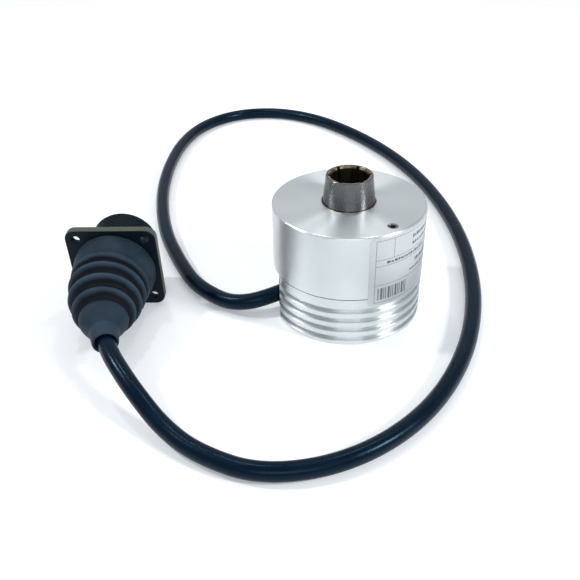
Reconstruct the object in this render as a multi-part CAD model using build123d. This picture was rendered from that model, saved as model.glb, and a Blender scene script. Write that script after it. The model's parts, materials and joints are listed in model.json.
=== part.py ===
from build123d import *
import math
import os

# Blind hollow-shaft rotary encoder with a shielded cable and a square-flange connector.
# Millimetres. The shaft axis is Z, the rear face of the housing rests on z = 0,
# and the cable leaves through a flat milled on the -X side.

# Housing
BODY_R = 29.0              # outer radius of the can and the rear cap
BODY_TOP = 46.0            # top face of the can
JOINT_Z = 20.25            # top of the rear cap, under the gasket
GASKET_T = 0.3
GASKET_SETBACK = 0.35      # the joint line lies this far below the skin
CAN_INNER_R = 26.3
TOP_PLATE_T = 4.5
TOP_EDGE_R = 0.7
BOSS_R = 19.5              # bearing boss inside the can
BOSS_BOTTOM = 22.6
LIP_BORE_R = 10.45         # opening round the shaft in the top face
LIP_T = 1.0
GUARD_IN_R = 10.1          # brass guard ring pressed into that opening
GUARD_PROUD = 0.05
LUG_R = 3.4                # lugs and columns that take the three cap screws
LUG_RADIUS = 23.8
LUG_ANGLES = (30, 150, 270)
LUG_TOP = 33.0
LUG_CLEARANCE = 0.4

# Rear cap
CAP_FLOOR_T = 2.4
CAP_INNER_R = 25.0
CAP_EDGE = 0.5             # chamfer round the rear face
SPIGOT_R = 26.2
SPIGOT_TOP = 24.4
FLAT_X = -26.9             # flat where the cable leaves
GROOVE_PITCH = 4.15
GROOVE_TOP_Z = 15.2
GROOVE_COUNT = 4
GROOVE_W = 1.9
GROOVE_DEPTH = 1.6
GROOVE_EDGE = 0.2

# Access plug in the rear face, for the draw screw
PLUG_BOSS_R = 11.0
PLUG_BOSS_TOP = 8.0
PLUG_R = 7.5
PLUG_FLANGE_R = 8.8
PLUG_SEAT_Z = 2.8
PLUG_FACE_Z = 0.2          # the plug's face lies just inside the rear face
PLUG_KEY = 7.0
ORING_R = 0.4

# Rating label
LABEL_Z0 = 17.0
LABEL_Z1 = 45.2
LABEL_T = 0.12
LABEL_START = -79.8        # degrees about Z
LABEL_ARC = 126.0

# Screws: radii are the threads' nominal ones
M3_R = 1.5
M3_HEAD_R = 2.75
M3_HEAD_H = 3.0
M3_KEY = 2.5
HEAD_CLEARANCE = 0.25
CAP_SCREW_SEAT = 3.4
CAP_SCREW_TOP = 29.0
KEY_SHARE = 0.55           # depth of a hexagon socket as a share of the head
GRUB_XY = (13.7, -20.6)
GRUB_R = 2.0
GRUB_TOP = BODY_TOP - 0.25
GRUB_BOTTOM = BODY_TOP - 4.1
GRUB_EDGE = 0.35
GRUB_KEY = 2.0

# Bearings: 20 x 32 x 7, two in the boss
BEARING_BORE_R = 10.0
BEARING_OUT_R = 16.0
BEARING_W = 7.0
RACE_INNER_R = 12.0        # outside of the inner ring
RACE_OUTER_R = 14.0        # inside of the outer ring
BALL_R = 1.75
BALL_PITCH_R = 13.0
BALL_COUNT = 12
BALL_GAP = 0.05
CAGE_HALF_T = 0.65
CAGE_HALF_H = 2.6
CAGE_POCKET_R = 1.87
LOWER_BEARING_Z = BOSS_BOTTOM
UPPER_BEARING_Z = 33.0
SPACER_GAP = 0.4           # the spacers stay this far off the races' faces
SPRING_T = 0.5
SEAL_LOW = 41.9
SEAL_RIM_R = 12.6
SEAL_WEB_Z = 43.4
SEAL_LIP_GAP = 0.05

# Plate that holds the bearings in the boss
RETAINER_ANGLES = (60, 180, 300)
RETAINER_RADIUS = 17.75
RETAINER_T = 1.4
RETAINER_SCREW_R = 0.8
RETAINER_SCREW_TOP = 26.0
RETAINER_HEAD_R = 1.5
RETAINER_HEAD_H = 1.2
RETAINER_KEY = 1.3

# Shaft and collet
SHAFT_BOTTOM = 13.0
SHAFT_TOP = 56.5
NOSE_BASE_R = 9.85
NOSE_TIP_R = 8.74
NOSE_BASE_Z = 46.2
NOSE_EDGE = 0.15
HUB_SEAT_R = 9.0
HUB_SEAT_TOP = 21.0
SHOULDER_R = 11.4          # bears on the upper bearing's inner ring
SHOULDER_T = 1.5
CLIP_GROOVE_R = 9.5
CLIP_GROOVE_LOW = 21.5
CLIP_LOW = 21.6
COLLET_R = 8.0
BORE_R = 7.0               # clamping bore
COLLET_FLOOR_Z = 32.5
COLLET_FLOOR_T = 2.0
COLLET_TOP = 56.4
COLLET_MOUTH_R = 7.45
COLLET_MOUTH_H = 0.6
SLOT_W = 1.4
SLOT_COUNT = 6
SLOT_FOOT = 2.5            # solid length under the slots
LOWER_BORE_R = 6.0
LOWER_BORE_TOP = 28.5
SCREW_HOLE_R = 2.55
DRAW_SHANK_R = 2.45
DRAW_TOP = 32.3
DRAW_HEAD_R = 4.25
DRAW_HEAD_H = 5.0
DRAW_SEAT_Z = 19.2
DRAW_KEY = 4.0
KEEPER_GROOVE_R = 6.4
KEEPER_IN_R = 3.4
KEEPER_LOW = 13.4
KEEPER_TOP = 14.0

# Scanning unit
DISC_R = 19.8
DISC_Z = 17.2
DISC_T = 1.0
HUB_R = 12.5
HUB_TOP = 20.8
HUB_SCREW_R = 1.0
HUB_SCREW_Z = 19.5
HUB_SCREW_END = 12.2
HUB_SCREW_KEY = 0.9
HUB_SCREW_ANGLES = (0, 120, 240)
SCAN_X = 16.5              # radius of the optical track
LED_GAP = 0.7              # from the disc to the lens holder
LED_HALF_W = 3.0
LED_IN_X = 14.6
LED_OUT_X = 19.0
LENS_R = 1.3
LENS_H = 1.4
DETECTOR_HALF = (2.5, 3.0)
DETECTOR_H = 1.5
RETICLE_HALF = (2.0, 2.4)
RETICLE_T = 0.9

# Circuit board
BOARD_R = 24.0
BOARD_BORE_R = 9.8
BOARD_Z = 12.4
BOARD_T = 1.6
BOARD_TOP = BOARD_Z + BOARD_T
STANDOFF_RADIUS = 20.0
STANDOFF_ANGLES = (90, 210, 330)
STANDOFF_R = 2.6
BOARD_SCREW_R = 1.2
BOARD_SCREW_HOLE_Z = 6.0
BOARD_SCREW_END = 6.5
BOARD_HEAD_R = 2.2
BOARD_HEAD_H = 1.5
BOARD_KEY = 1.8
UNDER_CHIPS = (            # x limits, y limits, height, hanging under the board
    (10.0, 16.0, 5.0, 11.0, 1.6), (3.0, 8.0, -19.0, -13.0, 1.6), (-14.0, -10.0, 8.0, 13.0, 1.2),
)
UPPER_CHIP = (-3.0, 2.0, -17.5, -14.5, 1.0)
CAPACITOR_R = 2.4
CAPACITOR_H = 6.0
CAPACITOR_XY = ((12.5, -12.5), (18.5, -4.5))
HEADER_X = (-16.0, -11.5)
HEADER_HALF_W = 5.5
HEADER_H = 3.2

# Cable entry
CABLE_R = 3.2
EXIT_Y = -2.3
EXIT_Z = 7.0
FLOOR_Z = CABLE_R + 0.1    # height of the cable's axis where it lies on the surface
GLAND_R = 5.2
GLAND_X = (-27.2, -22.4)
GLAND_MOUTH_R = 4.5        # the gland's bore flares outwards, so the cable can bend to one side
GLAND_GRIP = 1.0
FERRULE_X = (-22.2, -20.2)
FERRULE_T = 0.7
TAIL_X = (-23.2, -19.5)    # the stripped tail of the cable inside the housing
WIRE_R = 0.5
WIRE_COUNT = 6
TAIL_WIRE_RING = 1.8
HEADER_WIRE_STEP = 1.6
HEADER_WIRE_FIRST = 0.9

# Connector: local axis z points from the boot to the mating end
CONN_X = -91.8
CONN_Y = 1.0
CONN_Z = 17.75
CONN_YAW = -2.0            # degrees about Z
CONN_TILT = 3.6            # mating end raised
FLANGE = 35.5
FLANGE_T = 3.0
FLANGE_CORNER_R = 4.2
FLANGE_HOLE_R = 1.6
FLANGE_PITCH = 27.0
BARREL_R = 13.5
BARREL_END = 20.7
BARREL_EDGE = 0.4
THREAD_START = 0.5         # distance in front of the flange
THREAD_PITCH = 1.2
THREAD_DEPTH = 0.45
THREAD_RUN_OUT = 1.5
CAVITY_R = 11.7
REAR_BARREL_R = 13.2
REAR_BARREL_END = -9.0
INSERT_BACK = -7.0
INSERT_FACE = 6.5
INSERT_RING = 1.2
PIN_R = 0.8
PIN_BACK = -8.5
PIN_TIP = 12.0
PIN_EDGE = 0.3
PIN_CIRCLES = ((12, 8.6, 0), (5, 4.2, 18))     # count, radius, first angle

# Boot: distance behind the flange, radius
BOOT_OUTER = (
    (0.15, 15.8), (0.6, 16.0), (11.6, 14.95), (12.4, 14.3), (13.6, 13.2), (15.2, 14.5), (16.6, 14.5),
    (18.8, 12.0), (21.5, 13.5), (22.8, 13.5), (24.8, 10.8), (27.0, 11.45), (28.2, 11.45), (30.2, 8.6),
    (31.6, 8.85), (33.0, 8.75), (36.5, 6.7), (39.2, 5.25), (41.7, 4.95), (45.4, 4.7), (45.8, 4.5),
)
BOOT_INNER = (
    (0.15, REAR_BARREL_R), (9.0, REAR_BARREL_R), (9.6, 12.0), (13.6, 11.6), (18.8, 10.6), (24.8, 9.2),
    (30.2, 7.2), (33.5, 6.4), (36.5, 4.6), (38.0, CABLE_R), (43.5, CABLE_R), (45.8, 3.9),
)
BOOT_BEND_START = 10.0
BOOT_BEND = 0.005          # sideways offset per square millimetre past the start of the bend
BOOT_CABLE_END = (36.0, 38.6, 41.3)
LEAD_BACK = -8.6
LEAD_RING = 8.6
LEAD_END = 36.2
LEAD_END_RING = 1.7

# Route of the cable's centre line: gland, loose loop on the surface, boot
CABLE_ROUTE = (
    (-25.4, -1.8, EXIT_Z), (-32.2, -5.9, 6.8), (-40.0, -7.2, 5.5), (-47.6, -4.6, 4.1), (-54.8, 1.8, 3.4),
    (-62.8, 10.8, FLOOR_Z), (-68.6, 22.5, FLOOR_Z), (-74.0, 35.5, FLOOR_Z), (-79.5, 50.5, FLOOR_Z),
    (-84.5, 71.0, FLOOR_Z), (-88.5, 99.0, FLOOR_Z), (-89.0, 131.0, FLOOR_Z), (-85.5, 164.0, FLOOR_Z),
    (-75.5, 192.0, FLOOR_Z), (-55.0, 210.5, FLOOR_Z), (-28.0, 212.5, FLOOR_Z), (-3.0, 198.5, FLOOR_Z),
    (18.5, 172.5, FLOOR_Z), (36.5, 140.5, FLOOR_Z), (49.0, 104.0, FLOOR_Z), (55.3, 65.5, FLOOR_Z),
    (56.0, 28.0, FLOOR_Z), (51.0, -8.0, FLOOR_Z), (39.5, -42.0, FLOOR_Z), (20.5, -71.0, FLOOR_Z),
    (-5.0, -89.5, FLOOR_Z), (-32.5, -94.3, FLOOR_Z), (-53.0, -84.6, FLOOR_Z), (-65.1, -74.1, 4.9),
    (-74.4, -64.0, 10.3), (-80.7, -55.4, 13.1), (-85.4, -47.8, 14.6), (-88.1, -41.1, 15.1),
)
BEND_SHARE = 0.45          # share of the shorter run that each bend takes

OVERCUT = 1.0              # cutting tools reach this far past the material


# ---------------------------------------------------------------- helpers


def ring(r_out, r_in, z0, z1):
    """A flat-ended tube about Z."""
    lowest = (Align.CENTER, Align.CENTER, Align.MIN)
    outer = Pos(0, 0, z0) * Cylinder(r_out, z1 - z0, align=lowest)
    return outer - Pos(0, 0, z0) * Cylinder(r_in, z1 - z0, align=lowest)


def disc(radius, z0, z1, x=0.0, y=0.0):
    """A solid cylinder parallel to Z."""
    return Pos(x, y, z0) * Cylinder(radius, z1 - z0, align=(Align.CENTER, Align.CENTER, Align.MIN))


def turned(points):
    """A solid of revolution about Z from (radius, height) corners."""
    profile = Plane.XZ * Polyline(*points, close=True)
    return revolve(make_face(profile), Axis.Z)


def block(x0, x1, y0, y1, z0, z1):
    """A box from its limits."""
    centre = Pos((x0 + x1) / 2, (y0 + y1) / 2, (z0 + z1) / 2)
    return centre * Box(x1 - x0, y1 - y0, z1 - z0)


def around(angles, radius):
    """Centres on a circle about Z."""
    return [(radius * math.cos(math.radians(a)), radius * math.sin(math.radians(a))) for a in angles]


def evenly(count, first=0.0):
    """Equally spaced angles in degrees."""
    return [first + 360 / count * i for i in range(count)]


def rod(start, end, radius):
    """A straight wire between two points."""
    path = Line(start, end)
    return sweep(Plane(origin=start, z_dir=path % 0) * Circle(radius), path)


def along_x(radius, x0, x1, y, z):
    """A solid cylinder parallel to X."""
    return Pos(x0, y, z) * Rot(0, 90, 0) * disc(radius, 0, x1 - x0)


def hexagon(across_flats, depth):
    """The prism that a hexagon key fills."""
    return extrude(RegularPolygon(across_flats / 2, 6, major_radius=False), depth)


def socket_screw(x, y, seat_z, end_z, shank_r, head_r, head_h, key):
    """A cap screw parallel to Z: the head lies on the far side of seat_z from the shank's end."""
    up = 1 if end_z > seat_z else -1
    head_far = seat_z - up * head_h
    head = disc(head_r, min(seat_z, head_far), max(seat_z, head_far), x, y)
    shank = disc(shank_r, min(seat_z, end_z), max(seat_z, end_z), x, y)
    depth = head_h * KEY_SHARE
    key_z = head_far if up > 0 else head_far - depth
    return head + shank - Pos(x, y, key_z) * hexagon(key, depth)


def save(name, shape):
    export_step(shape, f"parts/{name}.step")


# ---------------------------------------------------------------- housing


def can_profile():
    """Half section of the can: outside, seal pocket, bearing bore, boss and inside."""
    base_z = JOINT_Z + GASKET_T
    plate_z = BODY_TOP - TOP_PLATE_T
    lip_z = BODY_TOP - LIP_T
    bearing_stop = UPPER_BEARING_Z + BEARING_W + SPRING_T
    return [
        (BODY_R, base_z), (BODY_R, BODY_TOP), (LIP_BORE_R, BODY_TOP), (LIP_BORE_R, lip_z),
        (RACE_OUTER_R, lip_z), (RACE_OUTER_R, bearing_stop), (BEARING_OUT_R, bearing_stop),
        (BEARING_OUT_R, BOSS_BOTTOM), (BOSS_R, BOSS_BOTTOM), (BOSS_R, plate_z),
        (CAN_INNER_R, plate_z), (CAN_INNER_R, base_z),
    ]


def housing_can():
    base_z = JOINT_Z + GASKET_T
    plate_z = BODY_TOP - TOP_PLATE_T
    can = turned(can_profile())
    top_edge = [e for e in can.edges().filter_by(GeomType.CIRCLE)
                if abs(e.radius - BODY_R) < 0.01 and e.arc_center.Z > plate_z]
    can = fillet(top_edge, TOP_EDGE_R)
    inside = disc(CAN_INNER_R + OVERCUT, base_z, LUG_TOP)
    for x, y in around(LUG_ANGLES, LUG_RADIUS):
        can += disc(LUG_R, base_z, LUG_TOP, x, y) & inside
    for x, y in around(LUG_ANGLES, LUG_RADIUS):
        can -= disc(M3_R, base_z - OVERCUT, CAP_SCREW_TOP, x, y)
    can -= disc(GRUB_R, plate_z - OVERCUT, BODY_TOP + OVERCUT, *GRUB_XY)
    for x, y in around(RETAINER_ANGLES, RETAINER_RADIUS):
        can -= disc(RETAINER_SCREW_R, BOSS_BOTTOM - OVERCUT, RETAINER_SCREW_TOP, x, y)
    return can


def cap_profile():
    """Half section of the rear cap: grooved outside, spigot, inside and plug boss."""
    floor_r = BODY_R - GROOVE_DEPTH
    outline = [(0, 0), (BODY_R - CAP_EDGE, 0), (BODY_R, CAP_EDGE)]
    for i in reversed(range(GROOVE_COUNT)):
        centre = GROOVE_TOP_Z - i * GROOVE_PITCH
        low = centre - GROOVE_W / 2
        high = centre + GROOVE_W / 2
        outline += [(BODY_R, low - GROOVE_EDGE), (BODY_R - GROOVE_EDGE, low), (floor_r, low)]
        outline += [(floor_r, high), (BODY_R - GROOVE_EDGE, high), (BODY_R, high + GROOVE_EDGE)]
    return outline + [
        (BODY_R, JOINT_Z), (SPIGOT_R, JOINT_Z), (SPIGOT_R, SPIGOT_TOP), (CAP_INNER_R, SPIGOT_TOP),
        (CAP_INNER_R, CAP_FLOOR_T), (PLUG_BOSS_R, CAP_FLOOR_T), (PLUG_BOSS_R, PLUG_BOSS_TOP),
        (0, PLUG_BOSS_TOP),
    ]


def rear_cap():
    cap = turned(cap_profile())
    inside = disc(CAP_INNER_R + OVERCUT, 0, JOINT_Z)
    for x, y in around(LUG_ANGLES, LUG_RADIUS):
        cap -= disc(LUG_R + LUG_CLEARANCE, JOINT_Z, SPIGOT_TOP + OVERCUT, x, y)
        cap += disc(LUG_R, 0, JOINT_Z, x, y) & inside
        cap -= disc(M3_R + HEAD_CLEARANCE, -OVERCUT, JOINT_Z + OVERCUT, x, y)
        cap -= disc(M3_HEAD_R + HEAD_CLEARANCE, -OVERCUT, CAP_SCREW_SEAT, x, y)
    for x, y in around(STANDOFF_ANGLES, STANDOFF_RADIUS):
        cap += disc(STANDOFF_R, CAP_FLOOR_T, BOARD_Z, x, y)
        cap -= disc(BOARD_SCREW_R, BOARD_SCREW_HOLE_Z, BOARD_Z + OVERCUT, x, y)
    cap -= disc(PLUG_R, -OVERCUT, PLUG_BOSS_TOP + OVERCUT)
    cap -= disc(PLUG_FLANGE_R + HEAD_CLEARANCE, -OVERCUT, PLUG_SEAT_Z)
    cap -= block(-BODY_R - OVERCUT, FLAT_X, -BODY_R, BODY_R, -OVERCUT, JOINT_Z + OVERCUT)
    cap -= along_x(GLAND_R, FLAT_X - OVERCUT, GLAND_X[1], EXIT_Y, EXIT_Z)
    return cap


def joint_gasket():
    top = JOINT_Z + GASKET_T
    seal = ring(BODY_R - GASKET_SETBACK, CAN_INNER_R, JOINT_Z, top)
    beyond_flat = block(-BODY_R, FLAT_X + GASKET_SETBACK, -BODY_R, BODY_R, JOINT_Z - OVERCUT, top + OVERCUT)
    return seal - beyond_flat


def guard_ring():
    """A thin brass ring pressed into the top face round the shaft."""
    return ring(LIP_BORE_R, GUARD_IN_R, BODY_TOP - LIP_T, BODY_TOP + GUARD_PROUD)


def cap_screws():
    return [socket_screw(x, y, CAP_SCREW_SEAT, CAP_SCREW_TOP, M3_R, M3_HEAD_R, M3_HEAD_H, M3_KEY)
            for x, y in around(LUG_ANGLES, LUG_RADIUS)]


def grub_screw():
    screw = disc(GRUB_R, GRUB_BOTTOM, GRUB_TOP)
    screw = chamfer(screw.edges().sort_by(Axis.Z)[-1], GRUB_EDGE)
    screw -= Pos(0, 0, GRUB_TOP - GRUB_KEY) * hexagon(GRUB_KEY, GRUB_KEY)
    return Pos(*GRUB_XY, 0) * screw


def rating_label():
    """A thin foil wrapped round the front right of the housing."""
    outer_r = BODY_R + LABEL_T
    foil = Plane.XZ * make_face(Polyline(
        (BODY_R, LABEL_Z0), (outer_r, LABEL_Z0), (outer_r, LABEL_Z1), (BODY_R, LABEL_Z1), close=True))
    return Rot(0, 0, LABEL_START) * revolve(foil, Axis.Z, revolution_arc=LABEL_ARC)


def access_plug():
    flange_top = PLUG_SEAT_Z - 2 * ORING_R
    plug_top = PLUG_BOSS_TOP - LUG_CLEARANCE
    plug = disc(PLUG_FLANGE_R, PLUG_FACE_Z, flange_top) + disc(PLUG_R, flange_top, plug_top)
    return plug - Pos(0, 0, PLUG_FACE_Z) * hexagon(PLUG_KEY, PLUG_KEY / 2)


def plug_oring():
    return Pos(0, 0, PLUG_SEAT_Z - ORING_R) * Torus(PLUG_R + ORING_R, ORING_R)


def shaft_seal():
    """A rubber lip seal in the top plate, its lip just clear of the shaft."""
    lip_r = NOSE_BASE_R + SEAL_LIP_GAP
    top = BODY_TOP - LIP_T
    return turned([
        (RACE_OUTER_R, SEAL_LOW), (RACE_OUTER_R, top), (SEAL_RIM_R, top), (SEAL_RIM_R - 1.0, SEAL_WEB_Z),
        (lip_r + 0.5, SEAL_WEB_Z), (lip_r, SEAL_WEB_Z - 0.5), (lip_r + 0.7, SEAL_WEB_Z - 1.3),
        (SEAL_RIM_R - 0.4, SEAL_LOW),
    ])


def retainer_plate():
    low = BOSS_BOTTOM - RETAINER_T
    plate = ring(BOSS_R - HEAD_CLEARANCE, RACE_OUTER_R + SPACER_GAP, low, BOSS_BOTTOM)
    for x, y in around(RETAINER_ANGLES, RETAINER_RADIUS):
        plate -= disc(RETAINER_SCREW_R + 0.1, low - OVERCUT, BOSS_BOTTOM + OVERCUT, x, y)
    return plate


def retainer_screws():
    seat = BOSS_BOTTOM - RETAINER_T
    return [socket_screw(x, y, seat, RETAINER_SCREW_TOP, RETAINER_SCREW_R, RETAINER_HEAD_R,
                         RETAINER_HEAD_H, RETAINER_KEY)
            for x, y in around(RETAINER_ANGLES, RETAINER_RADIUS)]


# ---------------------------------------------------------------- bearings


def race_groove(z0):
    """The torus that the balls roll in."""
    return Pos(0, 0, z0 + BEARING_W / 2) * Torus(BALL_PITCH_R, BALL_R + BALL_GAP)


def bearing_outer_ring(z0):
    return ring(BEARING_OUT_R, RACE_OUTER_R, z0, z0 + BEARING_W) - race_groove(z0)


def bearing_inner_ring(z0):
    return ring(RACE_INNER_R, BEARING_BORE_R, z0, z0 + BEARING_W) - race_groove(z0)


def bearing_balls(z0):
    return [Pos(x, y, z0 + BEARING_W / 2) * Sphere(BALL_R)
            for x, y in around(evenly(BALL_COUNT), BALL_PITCH_R)]


def bearing_cage(z0):
    middle = z0 + BEARING_W / 2
    inner_r = BALL_PITCH_R - CAGE_HALF_T
    cage = ring(BALL_PITCH_R + CAGE_HALF_T, inner_r, middle - CAGE_HALF_H, middle + CAGE_HALF_H)
    pocket = along_x(CAGE_POCKET_R, RACE_INNER_R, RACE_OUTER_R, 0, middle)
    for angle in evenly(BALL_COUNT):
        cage -= Rot(0, 0, angle) * pocket
    return cage


def outer_spacer():
    return ring(BEARING_OUT_R, RACE_OUTER_R + SPACER_GAP, LOWER_BEARING_Z + BEARING_W, UPPER_BEARING_Z)


def inner_spacer():
    return ring(RACE_INNER_R - SPACER_GAP, BEARING_BORE_R, LOWER_BEARING_Z + BEARING_W, UPPER_BEARING_Z)


def preload_spring():
    low = UPPER_BEARING_Z + BEARING_W
    return ring(BEARING_OUT_R - HEAD_CLEARANCE, RACE_OUTER_R + SPACER_GAP, low, low + SPRING_T)


# ---------------------------------------------------------------- rotor


def shaft_outside():
    """Outline of the shaft's outside from the bottom up."""
    shoulder_z = UPPER_BEARING_Z + BEARING_W
    return [
        (HUB_SEAT_R - 0.3, SHAFT_BOTTOM), (HUB_SEAT_R, SHAFT_BOTTOM + 0.3), (HUB_SEAT_R, HUB_SEAT_TOP),
        (BEARING_BORE_R, HUB_SEAT_TOP), (BEARING_BORE_R, CLIP_GROOVE_LOW), (CLIP_GROOVE_R, CLIP_GROOVE_LOW),
        (CLIP_GROOVE_R, BOSS_BOTTOM), (BEARING_BORE_R, BOSS_BOTTOM), (BEARING_BORE_R, shoulder_z),
        (SHOULDER_R, shoulder_z), (SHOULDER_R, shoulder_z + SHOULDER_T), (NOSE_BASE_R, shoulder_z + SHOULDER_T),
        (NOSE_BASE_R, NOSE_BASE_Z), (NOSE_TIP_R, SHAFT_TOP - NOSE_EDGE), (NOSE_TIP_R - NOSE_EDGE, SHAFT_TOP),
    ]


def shaft_inside():
    """Outline of the shaft's inside from the top down."""
    return [
        (COLLET_R + 0.1, SHAFT_TOP), (COLLET_R, SHAFT_TOP - 0.1), (COLLET_R, COLLET_FLOOR_Z),
        (SCREW_HOLE_R, COLLET_FLOOR_Z), (SCREW_HOLE_R, LOWER_BORE_TOP), (LOWER_BORE_R, LOWER_BORE_TOP),
        (LOWER_BORE_R, KEEPER_TOP), (KEEPER_GROOVE_R, KEEPER_TOP), (KEEPER_GROOVE_R, KEEPER_LOW),
        (LOWER_BORE_R, KEEPER_LOW), (LOWER_BORE_R, SHAFT_BOTTOM),
    ]


def hollow_shaft():
    return turned(shaft_outside() + shaft_inside())


def collet_sleeve():
    """A slotted brass sleeve that grips the driving shaft."""
    floor_top = COLLET_FLOOR_Z + COLLET_FLOOR_T
    sleeve = turned([
        (SCREW_HOLE_R, COLLET_FLOOR_Z), (COLLET_R, COLLET_FLOOR_Z), (COLLET_R, COLLET_TOP),
        (COLLET_MOUTH_R, COLLET_TOP), (BORE_R, COLLET_TOP - COLLET_MOUTH_H), (BORE_R, floor_top),
        (SCREW_HOLE_R, floor_top),
    ])
    slot = block(BORE_R - OVERCUT, COLLET_R + OVERCUT, -SLOT_W / 2, SLOT_W / 2,
                 floor_top + SLOT_FOOT, COLLET_TOP + OVERCUT)
    for angle in evenly(SLOT_COUNT):
        sleeve -= Rot(0, 0, angle) * slot
    return sleeve


def shaft_circlip():
    clip = ring(SHOULDER_R, CLIP_GROOVE_R, CLIP_LOW, BOSS_BOTTOM)
    gap = block(-1.5, 1.5, 0, SHOULDER_R + OVERCUT, CLIP_LOW - OVERCUT, BOSS_BOTTOM + OVERCUT)
    return clip - gap


def screw_keeper():
    """The internal ring that keeps the draw screw in the shaft."""
    keeper = ring(KEEPER_GROOVE_R, KEEPER_IN_R, KEEPER_LOW, KEEPER_TOP)
    return keeper - block(-1.2, 1.2, 0, KEEPER_GROOVE_R + OVERCUT, KEEPER_LOW - OVERCUT, KEEPER_TOP + OVERCUT)


def draw_screw():
    return socket_screw(0, 0, DRAW_SEAT_Z, DRAW_TOP, DRAW_SHANK_R, DRAW_HEAD_R, DRAW_HEAD_H, DRAW_KEY)


def disc_hub():
    hub = ring(HUB_R, HUB_SEAT_R, DISC_Z + DISC_T, HUB_TOP)
    hole = along_x(HUB_SCREW_R, 0, HUB_R + OVERCUT, 0, HUB_SCREW_Z)
    for angle in HUB_SCREW_ANGLES:
        hub -= Rot(0, 0, angle) * hole
    return hub


def hub_screws():
    screw = along_x(HUB_SCREW_R, HUB_SEAT_R, HUB_SCREW_END, 0, HUB_SCREW_Z)
    screw -= Pos(HUB_SCREW_END - 1.0, 0, HUB_SCREW_Z) * Rot(0, 90, 0) * hexagon(HUB_SCREW_KEY, 1.0)
    return [Rot(0, 0, angle) * screw for angle in HUB_SCREW_ANGLES]


def code_disc():
    return ring(DISC_R, HUB_SEAT_R, DISC_Z, DISC_Z + DISC_T)


def disc_clamp_ring():
    return ring(HUB_R, HUB_SEAT_R, DISC_Z - 1.0, DISC_Z)


# ---------------------------------------------------------------- electronics


def led_holder():
    low = DISC_Z + DISC_T + LED_GAP
    top = BOSS_BOTTOM - RETAINER_T
    holder = block(LED_IN_X, LED_OUT_X, -LED_HALF_W, LED_HALF_W, low, top)
    return holder - disc(LENS_R, low - OVERCUT, top + OVERCUT, SCAN_X, 0)


def led_lens():
    low = DISC_Z + DISC_T + LED_GAP
    return disc(LENS_R, low, low + LENS_H, SCAN_X, 0)


def detector_chip():
    half_x, half_y = DETECTOR_HALF
    return block(SCAN_X - half_x, SCAN_X + half_x, -half_y, half_y, BOARD_TOP, BOARD_TOP + DETECTOR_H)


def scan_reticle():
    half_x, half_y = RETICLE_HALF
    low = BOARD_TOP + DETECTOR_H
    return block(SCAN_X - half_x, SCAN_X + half_x, -half_y, half_y, low, low + RETICLE_T)


def main_board():
    board = ring(BOARD_R, BOARD_BORE_R, BOARD_Z, BOARD_TOP)
    for x, y in around(LUG_ANGLES, LUG_RADIUS):
        board -= disc(LUG_R + LUG_CLEARANCE, BOARD_Z - OVERCUT, BOARD_TOP + OVERCUT, x, y)
    for x, y in around(STANDOFF_ANGLES, STANDOFF_RADIUS):
        board -= disc(BOARD_SCREW_R + 0.2, BOARD_Z - OVERCUT, BOARD_TOP + OVERCUT, x, y)
    return board


def board_screws():
    return [socket_screw(x, y, BOARD_TOP, BOARD_SCREW_END, BOARD_SCREW_R, BOARD_HEAD_R, BOARD_HEAD_H, BOARD_KEY)
            for x, y in around(STANDOFF_ANGLES, STANDOFF_RADIUS)]


def board_chips():
    chips = [block(x0, x1, y0, y1, BOARD_Z - height, BOARD_Z) for x0, x1, y0, y1, height in UNDER_CHIPS]
    x0, x1, y0, y1, height = UPPER_CHIP
    return chips + [block(x0, x1, y0, y1, BOARD_TOP, BOARD_TOP + height)]


def board_capacitors():
    return [disc(CAPACITOR_R, BOARD_Z - CAPACITOR_H, BOARD_Z, x, y) for x, y in CAPACITOR_XY]


def wire_header():
    y0 = EXIT_Y - HEADER_HALF_W
    y1 = EXIT_Y + HEADER_HALF_W
    return block(*HEADER_X, y0, y1, BOARD_Z - HEADER_H, BOARD_Z)


# ---------------------------------------------------------------- cable entry


def cable_gland():
    """A rubber grommet in the cap's flat wall."""
    length = GLAND_X[1] - GLAND_X[0]
    gland = turned([
        (GLAND_MOUTH_R, 0), (GLAND_R, 0), (GLAND_R, length), (CABLE_R, length), (CABLE_R, length - GLAND_GRIP),
    ])
    return Pos(GLAND_X[0], EXIT_Y, EXIT_Z) * Rot(0, 90, 0) * gland


def cable_tail():
    return along_x(CABLE_R, *TAIL_X, EXIT_Y, EXIT_Z)


def shield_ferrule():
    tube = along_x(CABLE_R + FERRULE_T, *FERRULE_X, EXIT_Y, EXIT_Z)
    return tube - along_x(CABLE_R, *FERRULE_X, EXIT_Y, EXIT_Z)


def lead_wires():
    """Six leads that fan out from the cable's end to the header, three to each side."""
    wires = []
    starts = around(evenly(WIRE_COUNT, 30), TAIL_WIRE_RING)
    for i, (across, up) in enumerate(starts):
        side = 1 if across > 0 else -1
        row = min(i, WIRE_COUNT - 1 - i)
        end_y = EXIT_Y + side * (HEADER_WIRE_FIRST + HEADER_WIRE_STEP * row)
        start = (TAIL_X[1], EXIT_Y + across, EXIT_Z + up)
        wires.append(rod(start, (HEADER_X[0], end_y, BOARD_Z - HEADER_H / 2), WIRE_R))
    return wires


# ---------------------------------------------------------------- connector


def in_connector(shape):
    """Places a shape from the connector's own frame."""
    return Pos(CONN_X, CONN_Y, CONN_Z) * Rot(0, 0, CONN_YAW) * Rot(-90 + CONN_TILT, 0, 0) * shape


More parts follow.
